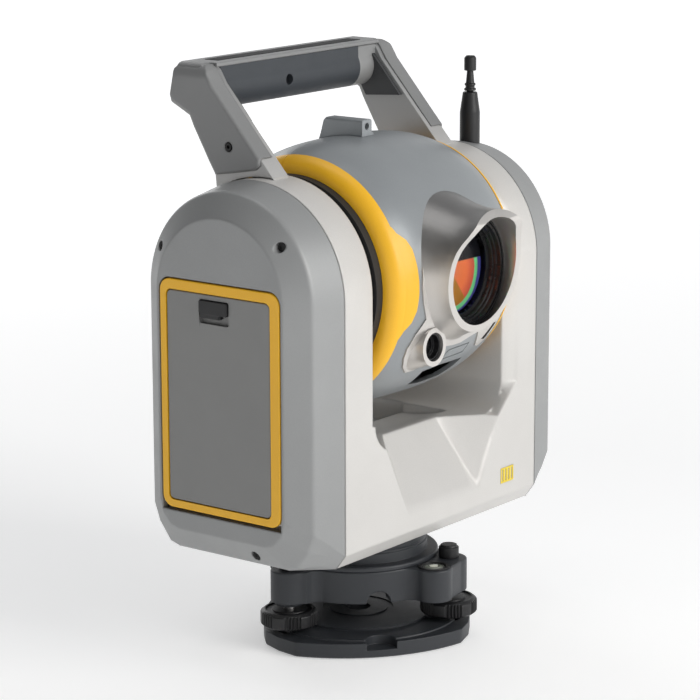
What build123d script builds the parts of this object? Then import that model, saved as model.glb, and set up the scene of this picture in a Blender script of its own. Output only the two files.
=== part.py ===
from build123d import *
import math
import os

os.makedirs("parts", exist_ok=True)

# ---------------------------------------------------------------------------
# Scanning total station on its tribrach.  Millimetres, +Z up.
# Origin: centre of the tribrach's bottom face, on the vertical axis.
# The telescope tilts about the X axis at height ZT and looks along -Y.
# The battery side is at -X.
# ---------------------------------------------------------------------------

# main frame
ZT = 249.0            # height of the trunnion (tilt) axis
YB = 77.2             # underside of the yoke
R_ARCH = 71.5         # arch radius of the yoke and depth half of the body
X_SEAM = 107.0        # yoke to side cover joint
X_CREASE = 132.7      # side cover crease
X_OUT = 144.0         # side cover outer face
X_ARM_L = -76.0       # inner face of the left arm
X_ARM_R = 75.5        # inner face of the right arm
Z_FLOOR = 146.0       # floor of the gap between the arms
WALL = 4.0            # yoke casting wall
CWALL = 3.0           # cover wall

# tribrach
SCREW_R = 63.6        # foot screw circle radius
SCREW_A = (170.85, 290.85, 50.85)
PLATE_T = 11.5
BODY_Z0, BODY_Z1 = 30.9, 53.0
KNOB_R, KNOB_Z0, KNOB_Z1 = 19.3, 14.5, 25.6
THREAD_R = 6.75       # 5/8"-11 tapping radius

# telescope
DRUM = [(-58, 81.0), (-45, 85.0), (-20, 87.5), (10, 87.8), (40, 86.0), (60, 81.5), (67, 78.5)]
LENS_Z = 7.0          # objective axis above the trunnion axis
SHAFT_R = 12.0        # trunnion shaft radius
FIT = 0.05            # radial running clearance
Y_PART = 11.0         # parting plane of the two drum shells

# handle
GRIP_Y, GRIP_Z, GRIP_R = 60.0, 371.8, 14.2


def pol(r, a, z=0.0):
    return (r * math.cos(math.radians(a)), r * math.sin(math.radians(a)), z)


def cyl(r, z0, z1, x=0.0, y=0.0):
    return Pos(x, y, (z0 + z1) / 2) * Cylinder(r, z1 - z0)


def cylx(r, x0, x1, y=0.0, z=ZT):
    return Pos((x0 + x1) / 2, y, z) * Rot(0, 90, 0) * Cylinder(r, x1 - x0)


def cyly(r, y0, y1, x=0.0, z=ZT):
    return Pos(x, (y0 + y1) / 2, z) * Rot(90, 0, 0) * Cylinder(r, y1 - y0)


def box(x0, x1, y0, y1, z0, z1):
    return Pos((x0 + x1) / 2, (y0 + y1) / 2, (z0 + z1) / 2) * Box(x1 - x0, y1 - y0, z1 - z0)


def tube(r0, r1, z0, z1, x=0.0, y=0.0):
    return cyl(r1, z0, z1, x, y) - cyl(r0, z0 - 1, z1 + 1, x, y)


def tubex(r0, r1, x0, x1, y=0.0, z=ZT):
    return cylx(r1, x0, x1, y, z) - cylx(r0, x0 - 1, x1 + 1, y, z)


def tubey(r0, r1, y0, y1, x=0.0, z=ZT):
    return cyly(r1, y0, y1, x, z) - cyly(r0, y0 - 1, y1 + 1, x, z)


def yz_prism(pts, x0, x1):
    f = make_face(Polyline(*pts, close=True))
    return extrude(Plane.YZ.offset(x0) * f, amount=x1 - x0)


def xz_prism(pts, y0, y1):
    # points are (x, z); the solid runs from y0 to y1
    f = make_face(Polyline(*pts, close=True))
    return extrude(Plane(origin=(0, y1, 0), x_dir=(1, 0, 0), z_dir=(0, -1, 0)) * f, amount=y1 - y0)


def rrect_x(y0, y1, z0, z1, r, x0, x1):
    f = Pos((y0 + y1) / 2, (z0 + z1) / 2) * RectangleRounded(y1 - y0, z1 - z0, r)
    return extrude(Plane.YZ.offset(x0) * f, amount=x1 - x0)


def try_fillet(shape, edges, r):
    for k in (1.0, 0.7, 0.4):
        try:
            out = fillet(edges, r * k)
            if out.is_valid:
                return out
        except Exception:
            pass
    print("fillet left out, r =", r)
    return shape


def try_chamfer(shape, edges, r):
    for k in (1.0, 0.6):
        try:
            out = chamfer(edges, r * k)
            if out.is_valid:
                return out
        except Exception:
            pass
    print("chamfer left out, r =", r)
    return shape


def mirror_x(s):
    return mirror(s, about=Plane.YZ)


NODES = {}


def keep(name, shape):
    NODES[name] = shape


# ---------------------------------------------------------------------------
# Tribrach
# ---------------------------------------------------------------------------
def three_discs(radius, offset):
    s = None
    for a in (230.85, 350.85, 110.85):
        d = Pos(*pol(-offset, a)[:2]) * Circle(radius)
        s = d if s is None else s & d
    return s


# base plate: three bowed sides, truncated corners, raised pads at the feet
AXF = 230.85                       # direction of the plate's front side


def pf(r, phi):
    return pol(r, AXF + phi)[:2]


plate_sk = make_face([
    ThreePointArc(pf(81.6, -44.6), pf(73.6, 0), pf(81.6, 44.6)),
    Polyline(pf(81.6, 44.6), pf(79.4, 56.0), pf(76.8, 67.0)),
    ThreePointArc(pf(76.8, 67.0), pf(62.6, 108.0), pf(81.2, 164.6)),
    Line(pf(81.2, 164.6), pf(81.2, 195.4)),
    ThreePointArc(pf(81.2, 195.4), pf(62.6, 252.0), pf(76.8, 293.0)),
    Polyline(pf(76.8, 293.0), pf(79.4, 304.0), pf(81.6, 315.4)),
])
base_plate = extrude(plate_sk, PLATE_T - 1.2)
# the central field stands 1.2 mm proud of the corners
base_plate = base_plate + Pos(0, 0, PLATE_T - 1.2) * extrude(plate_sk & Circle(69.5), 1.2)
base_plate = try_chamfer(base_plate, base_plate.faces().sort_by(Axis.Z)[0].outer_wire().edges(), 1.2)
base_plate -= cyl(THREAD_R, -1, 20)
for a in SCREW_A:
    x, y, _ = pol(SCREW_R, a)
    base_plate -= cyl(8.0, 5.0, 20, x, y)
# half-moon finger pocket in the front upper edge
px, py, _ = pol(71.0, 229.6)
base_plate -= cyl(10.4, 5.5, 20, px, py)
# relief on the underside
base_plate -= tube(16.0, 44.0, -1, 2.5)
keep("base_plate", base_plate)

# spring plate: sheet steel disc that holds the ball feet down
spring_plate = cyl(50.0, PLATE_T, 12.7)
for a in SCREW_A:
    x, y, _ = pol(SCREW_R, a)
    arm = Rot(0, 0, a) * box(0, 58.0, -8.0, 8.0, PLATE_T, 12.7)
    spring_plate += arm
    spring_plate -= cyl(6.4, 10, 14, x, y)
spring_plate -= cyl(8.5, 10, 14)
spring_plate -= tube(20.0, 24.0, 12.1, 14)
keep("spring_plate", spring_plate)

# tribrach body
body_sk = Circle(54.5)
for a in SCREW_A:
    body_sk += Pos(*pol(SCREW_R, a)[:2]) * Circle(12.3)
    body_sk += Rot(0, 0, a) * (Pos(50.0, 0) * Rectangle(24.0, 30.0))
level_xy = (-1.4, -64.4)
lob2 = Pos(*level_xy) * Circle(12.2)
bridge = make_face(Polyline((-3.6, -76.4), (20.4, -71.5), (26.0, -50.0), (-2.0, -45.0), (-12.0, -50.0), (-13.4, -63.0), close=True))
body_sk = body_sk + lob2 + bridge
body_sk = offset(offset(body_sk, 9.0), -9.0)
tribrach = Pos(0, 0, BODY_Z0) * extrude(body_sk, BODY_Z1 - BODY_Z0)
tribrach = try_chamfer(tribrach, tribrach.faces().sort_by(Axis.Z)[-1].outer_wire().edges(), 0.8)
for a in SCREW_A:
    x, y, _ = pol(SCREW_R, a)
    tribrach += cyl(9.4, 28.6, BODY_Z0, x, y)
    tribrach -= cyl(7.0, 20, BODY_Z1 - 3.0, x, y)
    tribrach -= cyl(4.6, 20, 60, x, y)
# seat bore and cavity for the clamp ring
tribrach -= cyl(33.0, BODY_Z0 - 1, 60)
tribrach -= tube(32.0, 46.4, 42.6, 47.4)
tribrach -= cyl(41.0, BODY_Z0 - 1, 38.0)
# level pocket
tribrach -= cyl(10.7, 46.0, 60, *level_xy)
# half-round window in the lower front edge
tribrach -= Rot(0, 0, 231.9) * (Pos(50, 0, BODY_Z0) * Rot(0, 90, 0) * Cylinder(8.4, 40))
# lever boss bore at the back
LEV_A = 110.85
tribrach -= Rot(0, 0, LEV_A) * cylx(3.95 + FIT, 47.8, 60, 0, 42.0)
tribrach -= Rot(0, 0, LEV_A) * cylx(9.7, 51.2, 70, 0, 42.0)
keep("tribrach_body", tribrach)

bushes = []
caps = []
for a, n in zip(SCREW_A, "abc"):
    x, y, _ = pol(SCREW_R, a)
    bushes.append(tube(4.0 + FIT, 7.0, 29.5, 49.5, x, y))
    c = cyl(6.85, BODY_Z1, 60.5, x, y) + cyl(5.6, 60.5, 62.0, x, y)
    c = c - cyl(5.0, BODY_Z1 - 1, 58.0, x, y)
    caps.append(c)
    spin = cyl(4.0, 9.0, 56.0, x, y) + Pos(x, y, 9.6) * Sphere(4.45)
    spin = spin & cyl(30, 5.3, 70, x, y)
    keep("foot_spindle_" + n, spin)
    # knob with six grip pads of ribs between smooth lands
    pts = []
    for i in range(6):
        b = i * 60.0 + 8
        for t in range(5):
            pts.append(pol(KNOB_R - 0.1, b + t * 5.0)[:2])
        for t in range(5):
            c0 = b + 23.5 + t * 7.0
            pts.append(pol(KNOB_R - 1.2, c0)[:2])
            pts.append(pol(KNOB_R - 1.2, c0 + 2.2)[:2])
            pts.append(pol(KNOB_R, c0 + 3.4)[:2])
            pts.append(pol(KNOB_R, c0 + 5.6)[:2])
    k = extrude(make_face(Polyline(*pts, close=True)), KNOB_Z1 - KNOB_Z0)
    prof = make_face(Polyline((0, 0), (KNOB_R - 2.2, 0), (KNOB_R + 0.2, 2.0), (KNOB_R + 0.2, 9.0), (KNOB_R - 2.4, 11.1), (0, 11.1), close=True))
    k = k & revolve(Plane.XZ * prof, Axis.Z)
    k -= tube(11.5, 15.5, 10.1, 12)
    k = Pos(x, y, KNOB_Z0) * k
    k -= cyl(4.0, 0, 70, x, y)
    keep("foot_knob_" + n, k)
keep("foot_bushes", Compound(children=bushes))
keep("foot_caps", Compound(children=caps))

lx, ly = level_xy
housing = tube(7.9, 10.65, 46.0, 53.6, lx, ly) + cyl(10.65, 46.0, 47.2, lx, ly)
housing -= cyl(54.9, 52.9, 60)
keep("level_housing", housing)
vial = cyl(7.9, 47.2, 52.0, lx, ly) + (cyl(7.9, 52.0, 54.0, lx, ly) & (Pos(lx, ly, 52.9 - 38.0) * Sphere(38.6)))
keep("level_vial", vial)

# clamp ring inside the body and its lever at the back
clamp = tube(33.6, 45.8, 43.1, 46.6)
for i in range(3):
    clamp -= Rot(0, 0, i * 120 + 20) * box(30, 37.5, -5, 5, 40, 50)
keep("clamp_ring", clamp)
lever = cylx(9.0, 52.0, 60.5, 0, 42.0) + cylx(3.95, 48.2, 53, 0, 42.0)
lever += yz_prism([(-5.0, 42.0), (5.0, 42.0), (3.2, 31.5), (-3.2, 31.5)], 54.5, 60.5)
lever -= yz_prism([(-1.2, 47.5), (1.2, 47.5), (1.2, 36.5), (-1.2, 36.5)], 60.0, 61.5)
keep("lock_lever", Rot(0, 0, LEV_A) * lever)

# ---------------------------------------------------------------------------
# Instrument base (stays on the tribrach) and azimuth drive
# ---------------------------------------------------------------------------
ib = cyl(54.4, BODY_Z1, 56.4) + cyl(47.0, 56.4, 74.6)
ib = try_chamfer(ib, ib.edges().filter_by(GeomType.CIRCLE).filter_by(lambda e: abs(e.center().Z - 56.4) < 0.1 and e.radius > 50), 1.0)
ib -= tube(46.0, 50.0, 63.0, 65.0)
ib += cyl(20.0, 74.6, 111.0)
ib += cyl(32.4, 44.5, BODY_Z1)                    # forced-centring stub in the tribrach's seat
ib -= cyl(15.5, 76.0, 120)
ib -= cyl(11.5, 62.0, 120)
ib -= tube(26.0, 42.0, 58.0, 80)
ib += cyly(9.5, 38.0, 50.5, 0.0, 65.0)            # connector boss at the back
ib -= cyly(6.6, 42.5, 60.0, 0.0, 65.0)
keep("instrument_base", ib)
keep("azimuth_bearings", Compound(children=[tube(10.0 + FIT, 15.5, 77.0, 84.0), tube(10.0 + FIT, 15.5, 102.0, 109.0)]))
keep("azimuth_stator", tube(20.0, 29.5, 84.0, 97.0))
conn = tubey(4.6, 6.6, 42.5, 53.0, 0.0, 65.0) + cyly(4.6, 42.5, 45.5, 0.0, 65.0)
for i in range(7):
    ax, az = pol(2.6, i * 360 / 7)[:2]
    conn += cyly(0.45, 45.5, 51.0, ax, 65.0 + az)
keep("data_connector", conn)

spindle = cyl(10.0, 64.0, 118.0) + cyl(30.0, 117.0, 122.0)
keep("azimuth_spindle", spindle)
keep("azimuth_circle", tube(10.0, 33.0, 113.4, 114.8))
keep("azimuth_rotor", tube(30.6, 36.0, 81.0, 97.0))

# ---------------------------------------------------------------------------
# Yoke
# ---------------------------------------------------------------------------
def arch_face(x, r, zc, pts):
    # pts: right-hand corner points from the side line down to the bottom, as (y, z)
    right = [(r, zc)] + pts
    left = [(-p[0], p[1]) for p in reversed(right)]
    line = Polyline(*(right + left))
    arc = ThreePointArc((-r, zc), (0, zc + r), (r, zc))
    return Plane.YZ.offset(x) * make_face([line, arc])


def seam_pts(d=0.0):
    return [(R_ARCH - d, ZT - 162.0 + d * 0.4), (R_ARCH - 2.4 - d, ZT - 165.3 + d * 0.6),
            (R_ARCH - 4.7 - d, ZT - 168.5 + d * 0.8), (R_ARCH - 7.1 - d * 1.2, ZT - 171.8 + d)]


def crease_pts(d=0.0):
    return [(66.2 - d, ZT - 143.0 + d * 0.4), (61.7 - d, ZT - 155.5 + d * 0.7),
            (52.4 - d, ZT - 167.9 + d), (44.2 - d, ZT - 170.3 + d)]


def outer_pts(d=0.0):
    return [(51.0 - d, ZT - 136.0 + d * 0.4), (48.5 - d, ZT - 145.0 + d * 0.7),
            (42.0 - d, ZT - 152.0 + d), (35.0 - d, ZT - 154.0 + d)]


yoke = extrude(arch_face(-X_SEAM, R_ARCH, ZT, seam_pts()), amount=2 * X_SEAM)
yoke = try_fillet(yoke, yoke.edges().filter_by(Axis.X).filter_by(lambda e: e.center().Z < ZT - 120), 2.0)

# gap between the arms: straight left side, bevelled mouth on the right
gap = box(X_ARM_L, X_ARM_R, -90, 90, Z_FLOOR, 400)
gap = try_fillet(gap, gap.edges().filter_by(Axis.Y).filter_by(lambda e: e.center().Z < Z_FLOOR + 1), 20.0)
yoke -= gap
# bevels along the arms' inner edges, round the arch and down both sides
ARCH_LOW = [ZT - 84.0, ZT - 84.2, ZT - 84.4, ZT - 84.6]


def bevel_cut(x_in, x_out, drop):
    sgn = 1 if x_out > x_in else -1
    blank = extrude(arch_face(min(x_in, x_out), R_ARCH + 8, ZT, [(R_ARCH + 8, z) for z in ARCH_LOW[:1]]), amount=abs(x_out - x_in))
    core = loft([arch_face(x_in, R_ARCH - drop, ZT, [(R_ARCH - drop, ARCH_LOW[0] - 6)]),
                 arch_face(x_out, R_ARCH, ZT, [(R_ARCH, ARCH_LOW[0] - 6)])], ruled=True)
    return blank - core


yoke -= bevel_cut(X_ARM_R - 0.1, 85.0, 6.8)
yoke -= bevel_cut(X_ARM_L + 0.1, -78.8, 2.6)
for s in (-1, 1):
    def lower(xo, xi, dy):
        k = 1 if xo > 0 else -1
        fo = [(k * 56.0, ZT - 84.0), (xo, ZT - 84.0), (k * 62.9, ZT - 104.4), (k * 56.0, ZT - 104.4)]
        fi = [(k * 56.0, ZT - 84.0), (xi, ZT - 84.0), (xi, ZT - 90.6), (k * 63.4, ZT - 103.0), (k * 56.0, ZT - 103.0)]
        fo = [fo[0], fo[1], ((xo + k * 62.9) / 2, ZT - 94.2), fo[2], fo[3]]
        if k < 0:                            # the battery side's diagonal sits higher
            fo = [(-50.0, ZT - 79.0), (xo, ZT - 79.0), (-69.6, ZT - 89.2), (-57.2, ZT - 102.4), (-50.0, ZT - 102.4)]
            fi = [(-50.0, ZT - 79.0), (xi, ZT - 79.0), (xi, ZT - 84.2), (-57.8, ZT - 101.4), (-50.0, ZT - 101.4)]
        def plane_face(pts, y):
            sg = s if s < 0 else s
            if s < 0:
                pl = Plane(origin=(0, y, 0), x_dir=(1, 0, 0), z_dir=(0, -1, 0))
                return pl * make_face(Polyline(*pts, close=True))
            pl = Plane(origin=(0, y, 0), x_dir=(-1, 0, 0), z_dir=(0, 1, 0))
            return pl * make_face(Polyline(*[(-p[0], p[1]) for p in pts], close=True))
        return loft([plane_face(fo, s * (R_ARCH + 0.1)), plane_face(fi, s * (R_ARCH - dy))], ruled=True)
    yoke -= lower(85.0, X_ARM_R - 0.1, 6.8)
    yoke -= lower(-78.8, X_ARM_L + 0.1, 2.6)

# front and rear recess: trapezoid mouth, ramped floor, slanted sides
for s in (-1, 1):
    ramp = loft([
        Plane(origin=(0, s * 71.6, 0), x_dir=(1, 0, 0), z_dir=(0, s, 0)) * make_face(Polyline(*[(x * 1.0, z * -s) if False else (x, z) for x, z in [(-66.0, ZT - 98.0), (-62.8, ZT - 104.4), (-40.0, ZT - 151.5), (40.0, ZT - 151.5), (62.8, ZT - 104.4), (66.0, ZT - 98.0)]], close=True))
        if s < 0 else
        Plane(origin=(0, s * 71.6, 0), x_dir=(-1, 0, 0), z_dir=(0, s, 0)) * make_face(Polyline(*[(-66.0, ZT - 98.0), (-62.8, ZT - 104.4), (-40.0, ZT - 151.5), (40.0, ZT - 151.5), (62.8, ZT - 104.4), (66.0, ZT - 98.0)], close=True)),
        (Plane(origin=(0, s * 42.0, 0), x_dir=(1 if s < 0 else -1, 0, 0), z_dir=(0, s, 0)) * make_face(Polyline(*[(-36.0, ZT - 96.0), (-32.0, ZT - 99.0), (-29.0, ZT - 101.5), (29.0, ZT - 101.5), (32.0, ZT - 99.0), (36.0, ZT - 96.0)], close=True))),
    ], ruled=True)
    yoke -= ramp
# clearance scoops in the gap floor for the hood and its visor
yoke -= cylx(110.0, -50, 50) & box(-60, 60, -80, 1, 100, ZT)
yoke -= cylx(121.5, -52, 52) & box(-60, 60, 0, 80, 100, ZT)

# hollow: one cavity along the base, one in each arm, open to the covers
cav = box(-X_SEAM - 1, X_SEAM + 1, -50, 50, YB + 3.8, 122.0)
for sx in (-1, 1):
    x0 = 80.0 if sx > 0 else -X_SEAM - 1
    x1 = X_SEAM + 1 if sx > 0 else -80.0
    arm = extrude(arch_face(x0, R_ARCH - WALL, ZT, [(R_ARCH - WALL, ZT - 158.0), (R_ARCH - WALL - 2, ZT - 161.0), (R_ARCH - WALL - 4, ZT - 164.0), (R_ARCH - WALL - 6, ZT - 168.0)]), amount=x1 - x0)
    if sx > 0:                               # keep a wall behind the bevel
        arm -= extrude(arch_face(79.0, R_ARCH, ZT, [(R_ARCH, 60.0)]), amount=9.5) - extrude(arch_face(78.0, R_ARCH - 10.5, ZT, [(R_ARCH - 10.5, 60.0)]), amount=12.0)
    cav += arm
# trunnion bearing bosses
boss = tubex(0.01, 24.0, -92.0, -79.0) + tubex(0.01, 24.0, 79.0, 92.0)
cav -= boss
yoke -= cav
yoke -= cylx(18.0, -110, -75) + cylx(18.0, 75, 110)
# hole for the instrument base's sleeve
yoke -= cyl(24.0, 70, YB + 5)
# power button hole at the back of the left arm
yoke -= cyly(6.3, 60, 80, -91.0, ZT - 60.0)
# badge pocket on the front
yoke -= box(66.2, 81.6, -72.5, -71.0, ZT - 153.0, ZT - 142.2)
# handle screw seats
keep("yoke_housing", yoke)

# generic badge: a plain yellow outline with three bars
bd = box(66.4, 81.4, -71.7, -71.0, ZT - 152.8, ZT - 142.4) - box(67.5, 80.3, -73, -70, ZT - 151.7, ZT - 143.5)
for bx in (69.4, 73.0, 76.6):
    bd += box(bx, bx + 1.8, -71.7, -71.0, ZT - 152.4, ZT - 142.8)
keep("badge", bd)

# ---------------------------------------------------------------------------
# Side covers
# ---------------------------------------------------------------------------
def cover_solid(d, x_in, x_cr, x_out):
    f0 = arch_face(x_in, R_ARCH - d, ZT, seam_pts(d))
    f1 = arch_face(x_cr, 66.2 - d, ZT + 1.6, crease_pts(d))
    f2 = arch_face(x_out, 51.0 - d, ZT + 1.0, outer_pts(d))
    return loft([f0, f1], ruled=True) + loft([f1, f2], ruled=True)


outer = cover_solid(0.0, X_SEAM + 0.6, X_CREASE, X_OUT)
crease_edges = outer.edges().filter_by(lambda e: abs(e.center().X - X_CREASE) < 0.5 and abs(e.bounding_box().min.X - e.bounding_box().max.X) < 0.2)
outer = try_fillet(outer, crease_edges, 5.0)
face_edges = outer.faces().sort_by(Axis.X)[-1].outer_wire().edges()
outer = try_fillet(outer, face_edges, 3.0)
inner = cover_solid(CWALL, X_SEAM - 0.5, X_CREASE - 1.2, X_OUT - CWALL)
right_cover = outer - inner
left_cover = mirror_x(right_cover)

SCREWS_L = [(-45.0, 38.0), (52.0, 28.5), (-23.0, -163.0)]
screws = []
for sx in (-1, 1):
    for y, z in SCREWS_L:
        r_hole = cylx(3.3, 134.0, 150.0, y, ZT + z)
        seat = (cylx(5.2, 131.4, 140.0, y, ZT + z) & cover_solid(0.3, X_SEAM + 0.6, X_CREASE, X_OUT))
        head = cylx(2.8, 134.0, 136.6, y, ZT + z) - Pos(136.2, y, ZT + z) * Rot(0, 90, 0) * extrude(RegularPolygon(1.3, 6), 2)
        if sx > 0:
            right_cover = (right_cover + seat) - r_hole
            screws.append(head)
        else:
            left_cover = (left_cover + mirror_x(seat)) - mirror_x(r_hole)
            screws.append(mirror_x(head))


# door opening with a rebate, left side
DY, DZ0, DZ1, DR = 48.5, ZT - 140.1, ZT + 9.9, 8.0
G = 1.0
left_cover -= rrect_x(-DY - G, DY + G, DZ0 - G, DZ1 + G, DR + G, -150, -138.0)
left_cover += (rrect_x(-DY - 4.0, DY + 4.0, DZ0 - 4.0, DZ1 + 4.0, DR + 3, -140.5, -136.2) & mirror_x(cover_solid(0.2, X_SEAM, X_CREASE, X_OUT))) - rrect_x(-DY - G, DY + G, DZ0 - G, DZ1 + G, DR + G, -150, -138.0)
left_cover -= rrect_x(-43.0, 43.0, DZ0 + 5.0, DZ1 - 5.0, 5.0, -150, -130)
PIN_X, PIN_Z = -141.4, DZ0 + 2.6
left_cover -= cyly(5.2, -48.9, 48.9, PIN_X, PIN_Z) & box(-160, -137.6, -60, 60, DZ0 - 8, DZ0 + 12)   # room for the door to swing down
left_cover -= cyly(1.0, -52.5, 52.5, PIN_X, PIN_Z)
keep("door_hinge_pin", cyly(1.0, -52.5, 52.5, PIN_X, PIN_Z))

# antenna seat on the right cover
AX, AY = 125.0, -3.0
right_cover -= cyl(4.0, ZT + 55, ZT + 80, AX, AY)
keep("left_cover", left_cover)
keep("right_cover", right_cover)
gk = extrude(arch_face(X_SEAM, R_ARCH - 0.9, ZT, seam_pts(0.9)), amount=0.6) - extrude(arch_face(X_SEAM - 1, R_ARCH - 3.6, ZT, seam_pts(3.6)), amount=3)
keep("cover_gaskets", Compound(children=[gk, mirror_x(gk)]))

# ---------------------------------------------------------------------------
# Battery door, latch, battery and tray
# ---------------------------------------------------------------------------
PZ0, PZ1 = DZ0 + 5.0, DZ1 - 6.6
frame_ring = rrect_x(-DY, DY, DZ0, DZ1, DR, -X_OUT - 0.2, -139.6)
frame_ring = try_fillet(frame_ring, frame_ring.faces().sort_by(Axis.X)[0].outer_wire().edges(), 0.8)
frame_ring -= rrect_x(-41.2, 43.4, PZ0, PZ1, 4.0, -150, -130)
frame_ring -= cyly(1.0 + FIT, -60, 60, PIN_X, PIN_Z)
keep("door_frame", frame_ring)
panel = rrect_x(-40.6, 42.8, PZ0 + 0.6, PZ1 - 0.6, 3.6, -X_OUT + 0.2, -139.6)
panel = try_fillet(panel, panel.faces().sort_by(Axis.X)[0].outer_wire().edges(), 0.7)
panel += rrect_x(-DY + 1.0, DY - 1.0, DZ0 + 5.2, DZ1 - 1.0, DR - 1, -139.6, -138.2)
# latch recess and slot
LY0, LY1, LZ0, LZ1 = -8.0, 16.0, ZT - 16.0, ZT - 0.4
panel -= rrect_x(LY0, LY1, LZ0, LZ1, 1.6, -150, -140.6)
panel -= box(-150, -130, 0.0, 8.0, ZT - 12.5, ZT - 3.5)
keep("door_panel", panel)
latch = rrect_x(LY0 + 0.5, LY1 - 0.5, ZT - 9.6, LZ1 - 0.5, 1.4, -X_OUT - 1.2, -141.0)
latch += rrect_x(LY0 + 6.5, LY1 - 0.5, ZT - 12.4, LZ1 - 2.5, 1.4, -X_OUT - 0.4, -141.0)
latch += box(-141.5, -137.9, 0.6, 7.4, ZT - 9.2, ZT - 4.2)
latch += box(-137.9, -136.7, -3.0, 11.0, ZT - 11.0, ZT - 2.0)
keep("door_latch", latch)

tray = box(-136.2, -110.5, -45.0, 45.0, DZ0 + 3.0, DZ1 - 3.0) - box(-140, -112.0, -43.4, 43.4, DZ0 + 4.6, DZ1 - 4.6)
tray -= box(-113, -109, -30, 30, DZ0 + 40, DZ0 + 60)
keep("battery_tray", tray)
bat = box(-134.5, -112.0, -40.0, 40.0, DZ0 + 5.0, DZ0 + 125.0)
bat = try_fillet(bat, bat.edges().filter_by(Axis.X), 3.0)
bat -= box(-136, -133.6, -12, 12, DZ0 + 112, DZ0 + 120)
keep("battery", bat)

# main board with its connectors, in the right cover
mb = extrude(arch_face(113.0, 58.0, ZT, [(58.0, ZT - 128.0), (56.0, ZT - 131.0), (54.0, ZT - 133.0), (50.0, ZT - 135.0)]), amount=1.6)
mb += box(114.6, 120.0, -30, 10, ZT - 60, ZT - 20)
mb += box(114.6, 119.0, -40, -20, ZT - 110, ZT - 85)
mb += box(114.6, 118.0, 5, 40, ZT - 105, ZT - 90)
mb += box(114.6, 117.5, -20, 20, ZT + 5, ZT + 30)
for i in range(6):
    mb += box(120.0, 124.0, -28 + i * 7, -26 + i * 7, ZT - 58, ZT - 22)
mb -= cylx(20.0, 112.0, 116.0)
keep("main_board", mb)

# ---------------------------------------------------------------------------
# Handle
# ---------------------------------------------------------------------------
LEG = [(-8.0, 300.0), (-8.0, 320.6), (-3.2, 326.0), (14.2, 345.3), (41.8, 376.6), (46.7, 384.5),
       (51.0, 389.2), (70.5, 389.2), (73.4, 386.0), (77.7, 368.0), (76.2, 363.2), (61.0, 355.7),
       (57.6, 348.6), (45.0, 327.0), (40.0, 319.0), (38.0, 300.0)]
leg_l = yz_prism(LEG, -98.0, -82.5)
leg_r = mirror_x(leg_l)
bar = box(-98.0, 98.0, 47.0, 73.0, 386.4, 389.2)
frame_h = leg_l + leg_r + bar
frame_h = try_fillet(frame_h, frame_h.edges().filter_by(Axis.Y).filter_by(lambda e: e.center().Z > 388 and abs(e.center().X) > 90), 8.0)
frame_h -= cylx(72.0, -120, 120)
grip_core = cylx(GRIP_R, -82.5, 66.0, GRIP_Y, GRIP_Z) + box(-82.5, 66.0, 47.6, 72.4, 376.0, 386.4)
frame_h -= grip_core
frame_h -= box(-76, 76, 55.0, 66.0, 388.0, 392)
# outer pads: each lies in a shallow pocket of its leg and wraps round the leg's front edge
FRONT_LINE = [(2.2, 332.7), (13.0, 344.8), (40.4, 375.9), (46.4, 385.4), (50.2, 388.4)]
PAD = FRONT_LINE + [(70.0, 388.4), (72.6, 385.4), (76.0, 369.6), (74.4, 365.0), (59.6, 357.6), (56.2, 350.0), (43.2, 327.6), (38.2, 319.8), (20.0, 322.6), (5.6, 325.4), (2.4, 328.0)]
STRIP = FRONT_LINE + [(53.4, 388.4), (49.4, 383.2), (43.6, 373.8), (16.4, 342.7), (5.2, 330.0)]
pad_env = Pos(0, 0, 319.2) * Rot(90, 0, 0) * extrude(RectangleRounded(200.8, 139.0, 9.0), 200, both=True)
pad_l = yz_prism(PAD, -100.4, -96.9) + yz_prism(STRIP, -97.0, -86.6)
pad_l = try_fillet(pad_l, pad_l.faces().sort_by(Axis.X)[0].outer_wire().edges(), 1.8)
pad_l = pad_l & pad_env
pad_pocket = yz_prism(PAD, -101.0, -96.9)
strip_pocket = yz_prism([(y - 3.0, z + 2.6) for y, z in FRONT_LINE[:4]] + [(47.0, 396.0), (53.4, 396.0)] + STRIP[5:], -103.0, -86.6)
frame_h -= pad_pocket + mirror_x(pad_pocket) + strip_pocket + mirror_x(strip_pocket)
# inner pads: dark trim on the inner side of each leg, around the grip's ends
IPAD = [(24.0, 353.0), (43.6, 375.6), (52.0, 385.0), (57.0, 385.5), (70.0, 385.5), (73.8, 370.0), (72.6, 366.6),
        (57.4, 358.6), (53.0, 351.0)]
ip_l = yz_prism(IPAD, -82.5, -79.5)
ip_l -= cylx(GRIP_R, -90, -70, GRIP_Y, GRIP_Z)
ip_l -= box(-120, -70, 40, 80, 383.0, 395)
ip_l -= box(-120, -70, GRIP_Y, 100, 340.0, 395) + box(-90, -70, 47.6, 72.4, 376.0, 390.0)
ip_r = mirror_x(yz_prism(IPAD, -82.5, -79.5)) - box(70, 120, 40, 80, 383.0, 395) - cylx(GRIP_R, 70, 90, GRIP_Y, GRIP_Z) - box(70, 120, GRIP_Y, 100, 340.0, 395) - box(70, 90, 47.6, 72.4, 376.0, 390.0)
frame_h += cylx(GRIP_R, 64.0, 82.6, GRIP_Y, GRIP_Z) + box(64.0, 82.6, 47.6, 72.4, 376.0, 387.0)
keep("handle_inner_pads", Compound(children=[ip_l, ip_r]))
scr_l = cylx(2.4, -100.6, -97.0, 26.7, 338.4)
scr_r = mirror_x(scr_l)
hole_l = cylx(3.2, -104, -97.0, 26.7, 338.4)
pad_l -= hole_l
scr_l -= cylx(1.2, -101.5, -99.2, 26.7, 338.4)
scr_r = mirror_x(scr_l)
pad_r = mirror_x(pad_l)
keep("handle_pad_left", pad_l)
keep("handle_pad_right", pad_r)
keep("handle_frame", frame_h)
keep("case_screws", Compound(children=screws + [scr_l, scr_r]))
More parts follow.
